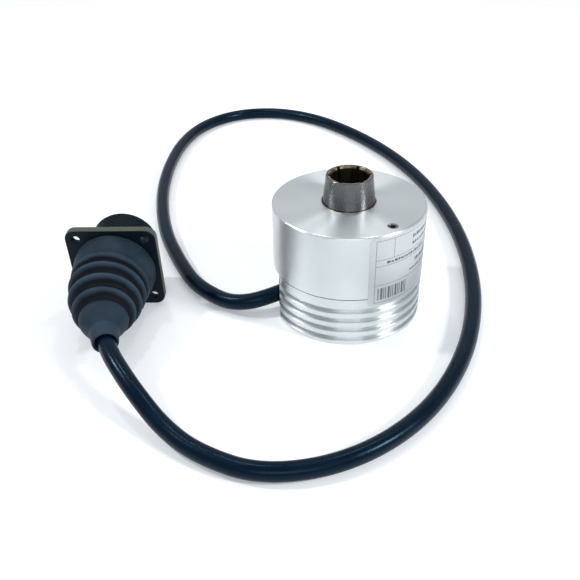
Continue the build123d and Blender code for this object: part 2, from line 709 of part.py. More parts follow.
def barrel_profile():
    """Half section of the barrel: plain behind the flange, ridged in front of it."""
    root_r = BARREL_R - THREAD_DEPTH
    inside_flange = FLANGE_T / 3
    profile = [(CAVITY_R, REAR_BARREL_END), (REAR_BARREL_R, REAR_BARREL_END), (REAR_BARREL_R, inside_flange),
               (root_r, inside_flange)]
    ridges = int((BARREL_END - FLANGE_T - THREAD_RUN_OUT) / THREAD_PITCH)
    for i in range(ridges):
        foot = FLANGE_T + THREAD_START + i * THREAD_PITCH
        profile += [(root_r, foot)]
        profile += [(BARREL_R, foot + THREAD_PITCH * share) for share in (0.4, 0.6)]
    end = [(root_r, BARREL_END - BARREL_EDGE), (root_r - BARREL_EDGE, BARREL_END), (CAVITY_R, BARREL_END)]
    return profile + end


def connector_shell():
    """Square flange with a threaded barrel in front and a plain barrel behind."""
    plate = extrude(RectangleRounded(FLANGE, FLANGE, FLANGE_CORNER_R), FLANGE_T)
    plate -= disc(CAVITY_R + OVERCUT, -OVERCUT, FLANGE_T + OVERCUT)
    shell = turned(barrel_profile()) + plate
    half = FLANGE_PITCH / 2
    for x, y in ((half, half), (-half, half), (-half, -half), (half, -half)):
        shell -= disc(FLANGE_HOLE_R, -OVERCUT, FLANGE_T + OVERCUT, x, y)
    return shell


def pin_centres():
    centres = []
    for count, radius, first in PIN_CIRCLES:
        centres += around(evenly(count, first), radius)
    return centres


def connector_insert():
    insert = disc(CAVITY_R, INSERT_BACK, INSERT_FACE)
    for x, y in pin_centres():
        insert -= disc(PIN_R, INSERT_BACK - OVERCUT, INSERT_FACE + OVERCUT, x, y)
    return insert


def contact_pins():
    pins = []
    for x, y in pin_centres():
        pin = disc(PIN_R, PIN_BACK, PIN_TIP, x, y)
        pins.append(chamfer(pin.edges().sort_by(Axis.Z)[-1], PIN_EDGE))
    return pins


def insert_ring():
    return ring(CAVITY_R, CAVITY_R - INSERT_RING, INSERT_FACE, INSERT_FACE + INSERT_RING)


def boot_offset(distance):
    """Sideways offset of the boot's centre line at a distance behind the flange."""
    return BOOT_BEND * max(0.0, distance - BOOT_BEND_START) ** 2


def boot_loft(sections):
    """A solid through circles set square to the boot's centre line."""
    circles = []
    for distance, radius in sections:
        slope = 2 * BOOT_BEND * max(0.0, distance - BOOT_BEND_START)
        plane = Plane(origin=(boot_offset(distance), 0, -distance), x_dir=(1, 0, slope), z_dir=(slope, 0, -1))
        circles.append(plane * Circle(radius))
    return loft(circles, ruled=True)


def cable_boot():
    """A rubber bellows boot, bent to follow the cable."""
    return boot_loft(BOOT_OUTER) - boot_loft(BOOT_INNER)


def boot_leads():
    """Leads from the contacts to the cable's end inside the boot."""
    wires = []
    for angle in evenly(WIRE_COUNT):
        cosine = math.cos(math.radians(angle))
        sine = math.sin(math.radians(angle))
        end_x = boot_offset(LEAD_END) + LEAD_END_RING * cosine
        wires.append(rod((LEAD_RING * cosine, LEAD_RING * sine, LEAD_BACK),
                         (end_x, LEAD_END_RING * sine, -LEAD_END), WIRE_R))
    return wires


def boot_cable_end():
    """The cable's stripped end inside the boot's neck."""
    return boot_loft([(distance, CABLE_R) for distance in BOOT_CABLE_END])


# ---------------------------------------------------------------- cable


def bend_radii(points):
    """The largest tangent arc that fits each corner of the route."""
    radii = []
    for before, corner, after in zip(points, points[1:], points[2:]):
        arriving = Vector(*corner) - Vector(*before)
        leaving = Vector(*after) - Vector(*corner)
        half_turn = math.radians(arriving.get_angle(leaving)) / 2
        radii.append(BEND_SHARE * min(arriving.length, leaving.length) / math.tan(half_turn))
    return radii


def cable():
    radii = bend_radii(CABLE_ROUTE)
    path = FilletPolyline(*CABLE_ROUTE, radius=radii)
    tube = sweep(Plane(origin=path @ 0, z_dir=path % 0) * Circle(CABLE_R), path)
    print("cable bend radii", [round(r, 1) for r in radii])
    expected = math.pi * CABLE_R ** 2 * path.length
    print("cable length", round(path.length, 1), "volume ratio", round(tube.volume / expected, 4))
    return tube


# ---------------------------------------------------------------- parts


def save_housing():
    save("housing_can", housing_can())
    save("rear_cap", rear_cap())
    save("joint_gasket", joint_gasket())
    save("guard_ring", guard_ring())
    save("cap_screws", Compound(cap_screws()))
    save("grub_screw", grub_screw())
    save("rating_label", rating_label())
    save("access_plug", access_plug())
    save("plug_oring", plug_oring())
    save("shaft_seal", shaft_seal())
    save("retainer_plate", retainer_plate())
    save("retainer_screws", Compound(retainer_screws()))


def save_bearings():
    for name, z0 in (("upper", UPPER_BEARING_Z), ("lower", LOWER_BEARING_Z)):
        save(f"{name}_bearing_outer_ring", bearing_outer_ring(z0))
        save(f"{name}_bearing_inner_ring", bearing_inner_ring(z0))
        save(f"{name}_bearing_balls", Compound(bearing_balls(z0)))
        save(f"{name}_bearing_cage", bearing_cage(z0))
    save("outer_spacer", outer_spacer())
    save("inner_spacer", inner_spacer())
    save("preload_spring", preload_spring())


def save_rotor():
    save("hollow_shaft", hollow_shaft())
    save("collet_sleeve", collet_sleeve())
    save("shaft_circlip", shaft_circlip())
    save("screw_keeper", screw_keeper())
    save("draw_screw", draw_screw())
    save("disc_hub", disc_hub())
    save("hub_screws", Compound(hub_screws()))
    save("code_disc", code_disc())
    save("disc_clamp_ring", disc_clamp_ring())


def save_electronics():
    save("led_holder", led_holder())
    save("led_lens", led_lens())
    save("detector_chip", detector_chip())
    save("scan_reticle", scan_reticle())
    save("main_board", main_board())
    save("board_screws", Compound(board_screws()))
    save("board_chips", Compound(board_chips()))
    save("board_capacitors", Compound(board_capacitors()))
    save("wire_header", wire_header())
    save("cable_gland", cable_gland())
    save("cable_tail", cable_tail())
    save("shield_ferrule", shield_ferrule())
    save("lead_wires", Compound(lead_wires()))


def save_connector():
    save("connector_shell", in_connector(connector_shell()))
    save("connector_insert", in_connector(connector_insert()))
    save("contact_pins", in_connector(Compound(contact_pins())))
    save("insert_ring", in_connector(insert_ring()))
    save("cable_boot", in_connector(cable_boot()))
    save("boot_leads", in_connector(Compound(boot_leads())))
    save("boot_cable_end", in_connector(boot_cable_end()))
    save("cable", cable())


os.makedirs("parts", exist_ok=True)
save_housing()
save_bearings()
save_rotor()
save_electronics()
save_connector()
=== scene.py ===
import json
import math

import bmesh
import bpy
from mathutils import Matrix, Vector


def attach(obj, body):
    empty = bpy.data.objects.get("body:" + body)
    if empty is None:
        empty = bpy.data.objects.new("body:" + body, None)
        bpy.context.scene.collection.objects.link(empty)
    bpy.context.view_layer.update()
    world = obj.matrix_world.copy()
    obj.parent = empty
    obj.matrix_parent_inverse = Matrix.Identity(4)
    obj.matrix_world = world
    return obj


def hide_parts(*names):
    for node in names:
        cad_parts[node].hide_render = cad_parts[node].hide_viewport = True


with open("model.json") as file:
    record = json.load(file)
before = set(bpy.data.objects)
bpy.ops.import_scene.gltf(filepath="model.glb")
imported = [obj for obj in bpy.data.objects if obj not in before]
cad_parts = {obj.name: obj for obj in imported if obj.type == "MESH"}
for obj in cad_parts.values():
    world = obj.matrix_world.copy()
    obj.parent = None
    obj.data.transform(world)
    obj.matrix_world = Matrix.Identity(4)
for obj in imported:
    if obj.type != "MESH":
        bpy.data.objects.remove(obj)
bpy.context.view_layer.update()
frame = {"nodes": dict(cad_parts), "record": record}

MM = 0.001
NODES = frame["nodes"]

# Dimensions of the CAD model, in millimetres and degrees
CABLE_R = 3.2
FLOOR_Z = CABLE_R + 0.1    # height of the cable's axis where it lies on the surface
CONN_X = -91.8
CONN_Y = 1.0
CONN_Z = 17.75
CONN_YAW = -2.0
CONN_TILT = 3.6
FLANGE = 35.5
FLANGE_T = 3.0
FLANGE_CORNER_R = 4.2
FLANGE_HOLE_R = 1.6
FLANGE_PITCH = 27.0
BARREL_R = 13.5
BARREL_END = 20.7
CAVITY_R = 11.7
REAR_BARREL_R = 13.2
REAR_BARREL_END = -9.0
THREAD_PITCH = 1.2
BOOT_BEND_START = 10.0
BOOT_BEND = 0.005          # times the square of the distance past that start: the boot's sideways drift
BODY_R = 29.0
LABEL_Z0 = 17.0
LABEL_Z1 = 45.2
LABEL_START = -79.8
LABEL_ARC = 126.0
LABEL_T = 0.12

# Dimensions that only the skins here have, in millimetres
FLANGE_EDGE = 0.3          # bevel of the flange plate
PLATE_BORE_R = CAVITY_R + 0.4    # hidden in the barrel's wall
THREAD_DEPTH = 0.5         # the CAD thread is 0.05 shallower
THREAD_GAP = 0.15          # from the flange to the thread
THREAD_FADE_IN = 0.5
THREAD_FADE_OUT = 0.8
MOUTH_LEAD = 0.7           # plain stretch before the barrel's mouth
MOUTH_CHAMFER = 0.35
MOUTH_EDGE = 0.3
LABEL_CORNER = 1.6
LABEL_LIFT = 0.01          # keeps the foil's underside off the housing
INK_LIFT = 0.015           # ink over foil

# Where the boot's painted light and shade change: its rim, its cone and its collar, as distances behind the
# flange
BOOT_RIM_END = 9.0
BOOT_CONE_START = 31.0
BOOT_COLLAR_START = 38.6
FOLD_REACH = 2.2           # a crest is judged against the folds this near
LEAST_RELIEF = 0.4
# Even tones where there are no folds; the collar's is lighter, a painted sheen
SMOOTH_TONE = 0.76
COLLAR_PAINTED_SHEEN = 0.9

# Zones of painted light and shade, in millimetres: the painted light in the grooves of the rear cap, and
# the painted shade in the collet's mouth
GROOVE_FLOOR_R = 27.6
GROOVE_TOP_R = 28.9
GROOVES_LOW = (0.6, 1.2)   # the painted light in the grooves fades in over these heights
GROOVES_HIGH = (17.5, 18.5)    # and out over these
PAINTED_SHADE_END_R = 7.6        # past the mouth's true radius of 7.45, so that it looks wider
BRIGHT_FROM_R = 7.85

CABLE_ROUTE = (
    (-25.4, -1.8, 7.0), (-32.2, -5.9, 6.8), (-40.0, -7.2, 5.5), (-47.6, -4.6, 4.1), (-54.8, 1.8, 3.4),
    (-62.8, 10.8, FLOOR_Z), (-68.6, 22.5, FLOOR_Z), (-74.0, 35.5, FLOOR_Z), (-79.5, 50.5, FLOOR_Z),
    (-84.5, 71.0, FLOOR_Z), (-88.5, 99.0, FLOOR_Z), (-89.0, 131.0, FLOOR_Z), (-85.5, 164.0, FLOOR_Z),
    (-75.5, 192.0, FLOOR_Z), (-55.0, 210.5, FLOOR_Z), (-28.0, 212.5, FLOOR_Z), (-3.0, 198.5, FLOOR_Z),
    (18.5, 172.5, FLOOR_Z), (36.5, 140.5, FLOOR_Z), (49.0, 104.0, FLOOR_Z), (55.3, 65.5, FLOOR_Z),
    (56.0, 28.0, FLOOR_Z), (51.0, -8.0, FLOOR_Z), (39.5, -42.0, FLOOR_Z), (20.5, -71.0, FLOOR_Z),
    (-5.0, -89.5, FLOOR_Z), (-32.5, -94.3, FLOOR_Z), (-53.0, -84.6, FLOOR_Z), (-65.1, -74.1, 4.9),
    (-74.4, -64.0, 10.3), (-80.7, -55.4, 13.1), (-85.4, -47.8, 14.6), (-88.1, -41.1, 15.1),
)

# Boot outline: distance behind the flange, radius. It turns in at the mouth and ends inside it, round
# the cable. The collar is 1.4 mm shorter than the CAD boot's.
BOOT_PROFILE = (
    (0.15, 13.3), (0.15, 14.6), (0.22, 15.6), (0.6, 15.95), (1.4, 16.0), (3.5, 15.85), (6.5, 15.55),
    (9.5, 15.25), (11.3, 15.0), (12.0, 14.7), (12.5, 14.0), (13.0, 13.3), (13.6, 13.05), (14.2, 13.5),
    (14.9, 14.25), (15.6, 14.6), (16.4, 14.6), (17.1, 14.0), (17.8, 12.8), (18.5, 12.0), (19.1, 11.95),
    (20.0, 12.6), (21.0, 13.35), (21.8, 13.6), (22.6, 13.5), (23.3, 12.8), (24.0, 11.4), (24.6, 10.75),
    (25.2, 10.7), (26.2, 11.15), (27.2, 11.5), (28.0, 11.5), (28.7, 10.9), (29.4, 9.4), (30.0, 8.6),
    (30.6, 8.45), (31.5, 8.75), (32.6, 8.85), (34.0, 8.3), (35.6, 7.35), (37.2, 6.25), (38.6, 5.45),
    (39.6, 5.15), (40.6, 5.1), (41.1, 4.95), (42.5, 4.85), (43.8, 4.7), (44.25, 4.55), (44.4, 4.25),
    (44.2, 3.95), (43.4, 3.6), (42.3, 3.35), (41.2, 3.25),
)

# Print on the label, in millimetres from its left edge and from the base: margins, ruled lines,
# rows of dashes as (from, to, low, high, seed), and a strip of bars
PRINT_MARGIN = 2.2
PRINT_LOW = 18.2
PRINT_HIGH = 44.0
RULE_W = 0.16
RULED_ROWS = (36.2, 33.6, 25.7)
TOP_COLUMNS = (9.4, 44.0)
MIDDLE_COLUMN = 30.0
LOWER_COLUMN = 46.0
DASH_ROWS = (
    (6.6, 27.5, 34.4, 35.4, 1), (32.0, 56.0, 34.4, 35.4, 5), (18.5, 34.0, 40.9, 42.2, 2),
    (18.5, 40.0, 38.2, 39.2, 7), (21.0, 40.0, 30.2, 31.6, 3), (18.0, 42.0, 27.4, 28.3, 4),
    (48.0, 58.0, 22.2, 23.2, 6), (48.0, 60.0, 20.0, 21.0, 8),
)
DASH_GAP = 0.35
BAR_COUNT = 13
BARS_START = 3.6
BARS_LOW = 19.4
BARS_HIGH = 24.4
BAR_WIDTHS = (0.35, 0.8, 0.35, 0.55)
BAR_GAPS = (0.4, 0.7, 0.45)


# ---------------------------------------------------------------- materials


class Shader:
    """A Principled material with small helpers for procedural detail."""

    def __init__(self, name, colour, metallic, roughness, **sockets):
        self.material = bpy.data.materials.new(name)
        self.material.use_nodes = True
        self.tree = self.material.node_tree
        self.bsdf = self.tree.nodes["Principled BSDF"]
        self.bsdf.inputs["Base Color"].default_value = (*colour, 1.0)
        self.bsdf.inputs["Metallic"].default_value = metallic
        self.bsdf.inputs["Roughness"].default_value = roughness
        for socket, value in sockets.items():
            self.bsdf.inputs[socket.replace("_", " ")].default_value = value
        self.coordinates = self.add("ShaderNodeTexCoord").outputs["Object"]

    def add(self, kind, **settings):
        node = self.tree.nodes.new(kind)
        for key, value in settings.items():
            setattr(node, key, value)
        return node

    def link(self, source, target):
        self.tree.links.new(source, target)

    def noise(self, scale, detail, vector=None, roughness=0.5):
        node = self.add("ShaderNodeTexNoise")
        node.inputs["Scale"].default_value = scale
        node.inputs["Detail"].default_value = detail
        node.inputs["Roughness"].default_value = roughness
        self.link(vector or self.coordinates, node.inputs["Vector"])
        return node.outputs["Fac"]

    def remap(self, value, low, high, from_low=0.3, from_high=0.7):
        node = self.add("ShaderNodeMapRange")
        node.inputs["From Min"].default_value = from_low
        node.inputs["From Max"].default_value = from_high
        node.inputs["To Min"].default_value = low
        node.inputs["To Max"].default_value = high
        self.link(value, node.inputs["Value"])
        return node.outputs["Result"]

    def math(self, operation, a, b=None):
        node = self.add("ShaderNodeMath", operation=operation)
        for socket, value in zip(node.inputs, (a, b)):
            if value is None:
                continue
            if isinstance(value, (int, float)):
                socket.default_value = value
            else:
                self.link(value, socket)
        return node.outputs["Value"]

    def blend(self, first, first_share, second, second_share):
        """The sum of two values, each times its share."""
        parts = [self.math("MULTIPLY", value, share)
                 for value, share in ((first, first_share), (second, second_share))]
        return self.math("ADD", *parts)

    def attribute(self, name):
        return self.add("ShaderNodeAttribute", attribute_name=name).outputs["Fac"]

    def cylinder_coordinates(self):
        """Distance from the Z axis, and height."""
        split = self.add("ShaderNodeSeparateXYZ")
        self.link(self.coordinates, split.inputs["Vector"])
        squares = [self.math("POWER", split.outputs[axis], 2.0) for axis in ("X", "Y")]
        return self.math("SQRT", self.math("ADD", *squares)), split.outputs["Z"]

    def lathe_vector(self):
        """A coordinate that is the same all the way round Z, so noise on it gives turning marks."""
        radius, height = self.cylinder_coordinates()
        joined = self.add("ShaderNodeCombineXYZ")
        self.link(radius, joined.inputs["X"])
        self.link(height, joined.inputs["Z"])
        return joined.outputs["Vector"]

    def stretched_vector(self, scales):
        """Object coordinates with a scale for each axis."""
        node = self.add("ShaderNodeVectorMath", operation="MULTIPLY")
        node.inputs[1].default_value = scales
        self.link(self.coordinates, node.inputs[0])
        return node.outputs["Vector"]

    def turn_tangent(self):
        """Takes the tangent of the anisotropic highlight from the Z axis."""
        tangent = self.add("ShaderNodeTangent", direction_type="RADIAL", axis="Z")
        self.link(tangent.outputs["Tangent"], self.bsdf.inputs["Tangent"])

    def vary_roughness(self, value, low, high):
        self.link(self.remap(value, low, high), self.bsdf.inputs["Roughness"])

    def vary_colour(self, value, dark, light, from_low=0.3, from_high=0.7):
        mix = self.add("ShaderNodeMix", data_type="RGBA")
        mix.inputs["A"].default_value = (*dark, 1.0)
        mix.inputs["B"].default_value = (*light, 1.0)
        self.link(self.remap(value, 0.0, 1.0, from_low, from_high), mix.inputs["Factor"])
        self.link(mix.outputs["Result"], self.bsdf.inputs["Base Color"])

    def bump(self, value, distance, strength):
        node = self.add("ShaderNodeBump")
        node.inputs["Distance"].default_value = distance
        node.inputs["Strength"].default_value = strength
        self.link(value, node.inputs["Height"])
        self.link(node.outputs["Normal"], self.bsdf.inputs["Normal"])


def shades(colour, spread):
    """A darker and a lighter shade of a colour, spread apart by a share of it."""
    dark = tuple(c * (1.0 - spread) for c in colour)
    light = tuple(min(1.0, c * (1.0 + spread)) for c in colour)
    return dark, light


def turned_aluminium():
    """Fine turned skin, painted a little brighter in the grooves round the rear cap: painted light,
    standing in for light reflected into them.
    """
    shader = Shader("turned_aluminium", (0.70, 0.72, 0.74), 1.0, 0.36, Anisotropic=0.88,
                    Anisotropic_Rotation=0.25)
    shader.turn_tangent()
    marks = shader.noise(9000.0, 2.0, shader.lathe_vector())
    cloud = shader.noise(70.0, 3.0)
    radius, height = shader.cylinder_coordinates()
    below_skin = shader.remap(radius, 1.0, 0.0, GROOVE_FLOOR_R * MM, GROOVE_TOP_R * MM)
    above_base = shader.remap(height, 0.0, 1.0, *(z * MM for z in GROOVES_LOW))
    below_joint = shader.remap(height, 1.0, 0.0, *(z * MM for z in GROOVES_HIGH))
    painted_groove_light = shader.math("MULTIPLY", below_skin, shader.math("MULTIPLY", above_base, below_joint))
    # Painted light: the colour in the grooves is raised a little, standing in for light reflected into
    # them.
    light = shader.math("ADD", shader.remap(cloud, 0.76, 0.81), shader.math("MULTIPLY", painted_groove_light, 0.06))
    shader.vary_colour(light, (0.0, 0.0, 0.0), (0.935, 0.985, 1.0), 0.0, 1.0)
    shader.vary_roughness(marks, 0.33, 0.39)
    return shader.material


def turned_steel():
    """Dark steel of the nose, with turning marks that run round it."""
    shader = Shader("turned_steel", (0.2, 0.2, 0.2), 1.0, 0.34, Anisotropic=0.5, Anisotropic_Rotation=0.25)
    shader.turn_tangent()
    marks = shader.noise(8200.0, 3.0, shader.lathe_vector(), 0.6)
    grain = shader.noise(2200.0, 2.0)
    mottle = shader.blend(marks, 0.4, grain, 0.6)
    shader.vary_colour(mottle, (0.075, 0.080, 0.084), (0.19, 0.198, 0.20), 0.25, 0.75)
    shader.vary_roughness(grain, 0.24, 0.38)
    shader.bump(marks, 0.000003, 0.4)
    return shader.material


def turned_brass():
    """Brass, painted dark in the collet's bore and round its mouth as painted shade, with upright streaks
    of tone that stand in for the bore's reflections.
    """
    shader = Shader("turned_brass", (0.62, 0.47, 0.24), 1.0, 0.32)
    radius = shader.cylinder_coordinates()[0]
    # Upright streaks: painted reflections in the bore, uneven tone on the rest of the brass.
    tone_and_reflection_streaks = shader.noise(1.0, 2.0, shader.stretched_vector((420.0, 420.0, 30.0)))
    # Painted shade: the colour falls to near black inside the collet's bore and round its mouth.
    open_part = shader.remap(radius, 0.3, 1.0, PAINTED_SHADE_END_R * MM, BRIGHT_FROM_R * MM)
    tone = shader.math("MULTIPLY", open_part, shader.remap(tone_and_reflection_streaks, 0.25, 1.0))
    shader.vary_colour(tone, (0.014, 0.009, 0.010), (0.72, 0.62, 0.40), 0.0, 1.0)
    marks = shader.noise(4800.0, 4.0, shader.lathe_vector(), 0.6)
    shader.vary_roughness(marks, 0.26, 0.42)
    shader.bump(marks, 0.000006, 0.5)
    return shader.material


def plain_metal(name, colour, roughness):
    """Plated, polished or blackened metal with a fine grain."""
    shader = Shader(name, colour, 1.0, roughness)
    grain = shader.noise(1800.0, 3.0)
    shader.vary_colour(grain, *shades(colour, 0.08))
    shader.vary_roughness(grain, roughness * 0.85, roughness * 1.15)
    shader.bump(grain, 0.000003, 0.3)
    return shader.material


def moulded(name, colour, roughness):
    """Moulded plastic or rubber with a fine texture."""
    shader = Shader(name, colour, 0.0, roughness)
    grain = shader.noise(2400.0, 3.0)
    cloud = shader.noise(90.0, 3.0)
    shader.vary_colour(cloud, *shades(colour, 0.15))
    shader.vary_roughness(grain, roughness * 0.9, min(1.0, roughness * 1.1))
    shader.bump(grain, 0.000008, 0.4)
    return shader.material


def cable_jacket():
    """Extruded PVC: faint mottling, soft sheen."""
    shader = Shader("cable_jacket", (0.0012, 0.005, 0.012), 0.0, 0.25, Specular_IOR_Level=0.18,
                    Specular_Tint=(0.4, 0.75, 1.0, 1.0))
    grain = shader.noise(900.0, 4.0)
    smear = shader.noise(60.0, 3.0)
    shader.vary_colour(smear, (0.0005, 0.003, 0.010), (0.0018, 0.0078, 0.019))
    shader.vary_roughness(smear, 0.2, 0.34)
    shader.bump(grain, 0.00009, 0.5)
    return shader.material


def boot_rubber():
    """Matte rubber, painted paler on the crests of the folds and near black in their valleys: painted light
    and shade.
    """
    shader = Shader("boot_rubber", (0.014, 0.026, 0.04), 0.0, 0.6, Specular_IOR_Level=0.14)
    grain = shader.noise(1500.0, 4.0, roughness=0.6)
    cloud = shader.noise(120.0, 3.0)
    # Painted light and shade: lighter on the folds' crests and the collar, near black in their valleys.
    tone = shader.blend(shader.attribute("crest"), 0.7, cloud, 0.3)
    shader.vary_colour(tone, (0.0010, 0.0035, 0.008), (0.029, 0.054, 0.083), 0.5, 0.92)
    shader.vary_roughness(grain, 0.52, 0.72)
    shader.bump(grain, 0.00003, 0.45)
    return shader.material


def connector_coat():
    """Near-black conversion coat, olive grey on the flange's narrow outer side."""
    shader = Shader("connector_coat", (0.008, 0.012, 0.016), 0.0, 0.42, Specular_IOR_Level=0.15,
                    Specular_Tint=(0.7, 0.9, 1.0, 1.0))
    grain = shader.noise(1400.0, 4.0)
    cloud = shader.noise(240.0, 4.0)
    tone = shader.blend(shader.attribute("rim"), 0.75, cloud, 0.2)
    shader.vary_colour(tone, (0.002, 0.006, 0.010), (0.085, 0.095, 0.072), 0.14, 0.95)
    shader.vary_roughness(grain, 0.36, 0.52)
    shader.bump(grain, 0.00001, 0.4)
    return shader.material


def label_foil():
    """Satin silver foil."""
    shader = Shader("label_foil", (0.56, 0.59, 0.61), 0.55, 0.36)
    grain = shader.noise(2200.0, 2.0)
    shader.vary_colour(grain, (0.50, 0.53, 0.55), (0.57, 0.60, 0.62))
    shader.vary_roughness(grain, 0.32, 0.42)
    return shader.material


def label_ink():
    """Grey printing ink."""
    colour = (0.10, 0.11, 0.125)
    shader = Shader("label_ink", colour, 0.0, 0.55)
    grain = shader.noise(3000.0, 2.0)
    shader.vary_colour(grain, *shades(colour, 0.2))
    return shader.material


def clear_glass(name, tint):
    """Clear glass or lens plastic, faintly smeared."""
    roughness = 0.06
    shader = Shader(name, tint, 0.0, roughness, Transmission_Weight=0.85, IOR=1.5)
    smear = shader.noise(200.0, 2.0)
    shader.vary_roughness(smear, roughness * 0.6, roughness * 1.8)
    return shader.material


def floor_paper():
    """White paper that gives off a little light, which lightens the shadows on it."""
    shader = Shader("floor_paper", (0.83, 0.835, 0.84), 0.0, 0.55, Emission_Color=(0.84, 0.92, 1.0, 1.0),
                    Emission_Strength=0.22)
    grain = shader.noise(500.0, 2.0)
    shader.vary_roughness(grain, 0.5, 0.6)
    return shader.material


def slot_materials():
    """One procedural material for each of the record's slots."""
    return {
        "anodised_aluminium": turned_aluminium(),
        "shaft_steel": turned_steel(),
        "bearing_steel": plain_metal("bearing_steel", (0.62, 0.63, 0.64), 0.16),
        "screw_steel": plain_metal("screw_steel", (0.45, 0.46, 0.48), 0.3),
        "black_steel": plain_metal("black_steel", (0.16, 0.165, 0.18), 0.38),
        "brass": turned_brass(),
        "rubber": moulded("seal_rubber", (0.006, 0.007, 0.008), 0.8),
        "black_plastic": moulded("black_plastic", (0.02, 0.021, 0.024), 0.42),
        "cage_plastic": moulded("cage_plastic", (0.16, 0.11, 0.055), 0.45),
        "label_foil": label_foil(),
        "disc_glass": clear_glass("disc_glass", (0.85, 0.9, 0.9)),
        "clear_lens": clear_glass("clear_lens", (0.92, 0.94, 0.97)),
        "circuit_board": moulded("circuit_board", (0.012, 0.12, 0.05), 0.35),
        "chip_black": moulded("chip_black", (0.014, 0.014, 0.016), 0.5),
        "capacitor_can": plain_metal("capacitor_can", (0.6, 0.6, 0.62), 0.25),
        "header_white": moulded("header_white", (0.72, 0.7, 0.64), 0.4),
        "cable_jacket": cable_jacket(),
        "wire_insulation": moulded("wire_insulation", (0.5, 0.06, 0.04), 0.35),
        "connector_metal": connector_coat(),
        "insert_plastic": moulded("insert_plastic", (0.03, 0.045, 0.07), 0.4),
        "contact_gold": plain_metal("contact_gold", (0.75, 0.52, 0.2), 0.2),
        "boot_rubber": boot_rubber(),
    }


MATERIALS = slot_materials()


def dress_nodes():
    """Gives each CAD node the material of its slot."""
    for entry in frame["record"]["subparts"]:
        mesh = NODES[entry["node"]].data
        mesh.materials.clear()
        mesh.materials.append(MATERIALS[entry["material_slot"]])


# ---------------------------------------------------------------- helpers


def add_object(name, data):
    """A new object in the scene."""
    added = bpy.data.objects.new(name, data)
    bpy.context.scene.collection.objects.link(added)
    return added


def new_piece(name, data, slot, material=None):
    """A piece that rides on the housing, in its slot's material unless another is given."""
    piece = add_object(name, data)
    data.materials.append(material or MATERIALS[slot])
    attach(piece, "housing")
    return piece


def shade_smooth(mesh):
    for polygon in mesh.polygons:
        polygon.use_smooth = True


def mesh_from(build, name):
    """A mesh made from a bmesh, which is then freed."""
    mesh = bpy.data.meshes.new(name)
    build.to_mesh(mesh)
    build.free()
    return mesh


def join_rings(build, rings):
    """Quads all the way round between each ring of vertices and the next."""
    for ring, following in zip(rings, rings[1:]):
        for i in range(len(ring)):
            j = (i + 1) % len(ring)
            build.faces.new((ring[i], following[i], following[j], ring[j]))


def smooth_curve(points, per_span):
    """Points along a Catmull-Rom curve through the given pairs."""
    found = []
    padded = [points[0], *points, points[-1]]
    for p0, p1, p2, p3 in zip(padded, padded[1:], padded[2:], padded[3:]):
        for step in range(per_span):
            t = step / per_span
            found.append(tuple(
                0.5 * (2 * b + (c - a) * t + (2 * a - 5 * b + 4 * c - d) * t ** 2
                       + (3 * b - a - 3 * c + d) * t ** 3)
                for a, b, c, d in zip(p0, p1, p2, p3)))
    found.append(points[-1])
    return found


def connector_frame():
    """Local z points from the boot to the mating end."""
    place = Matrix.Translation(Vector((CONN_X, CONN_Y, CONN_Z)) * MM)
    yaw = Matrix.Rotation(math.radians(CONN_YAW), 4, "Z")
    return place @ yaw @ Matrix.Rotation(math.radians(CONN_TILT - 90.0), 4, "X")


# ---------------------------------------------------------------- connector


def circle_points(radius, x=0.0, y=0.0, count=40):
    angles = [2 * math.pi * i / count for i in range(count)]
    return [(x + radius * math.cos(a), y + radius * math.sin(a)) for a in angles]


def plate_outline(steps=9):
    """The flange's rounded square."""
    inner = FLANGE / 2 - FLANGE_CORNER_R
    corners = ((inner, inner), (-inner, inner), (-inner, -inner), (inner, -inner))
    points = []
    for quarter, (x, y) in enumerate(corners):
        for i in range(steps + 1):
            angle = math.pi / 2 * (quarter + i / steps)
            points.append((x + FLANGE_CORNER_R * math.cos(angle), y + FLANGE_CORNER_R * math.sin(angle)))
    return points


def plate_mesh():
    """The flange plate with bevelled edges and four holes."""
    curve = bpy.data.curves.new("plate", "CURVE")
    curve.dimensions = "2D"
    curve.fill_mode = "BOTH"
    curve.extrude = (FLANGE_T / 2 - FLANGE_EDGE) * MM
    curve.bevel_depth = FLANGE_EDGE * MM
    curve.bevel_resolution = 2
    curve.offset = -FLANGE_EDGE * MM
    half = FLANGE_PITCH / 2
    holes = [circle_points(FLANGE_HOLE_R, x, y) for x in (-half, half) for y in (-half, half)]
    for points in (plate_outline(), circle_points(PLATE_BORE_R, count=96), *holes):
        spline = curve.splines.new("POLY")
        spline.points.add(len(points) - 1)
        for point, (x, y) in zip(spline.points, points):
            point.co = (x * MM, y * MM, 0.0, 1.0)
        spline.use_cyclic_u = True
    holder = add_object("plate", curve)
    bpy.context.view_layer.update()
    mesh = bpy.data.meshes.new_from_object(holder.evaluated_get(bpy.context.evaluated_depsgraph_get()))
    bpy.data.objects.remove(holder)
    bpy.data.curves.remove(curve)
    for vertex in mesh.vertices:
        vertex.co.z += FLANGE_T / 2 * MM
    return mesh


def thread_height(turns):
    """Share of the thread's depth at a position counted in pitches: a trapezium with a flat crest."""
    place = turns % 1.0
    return max(0.0, min(1.0, 1.75 - 4.0 * abs(place - 0.5)))


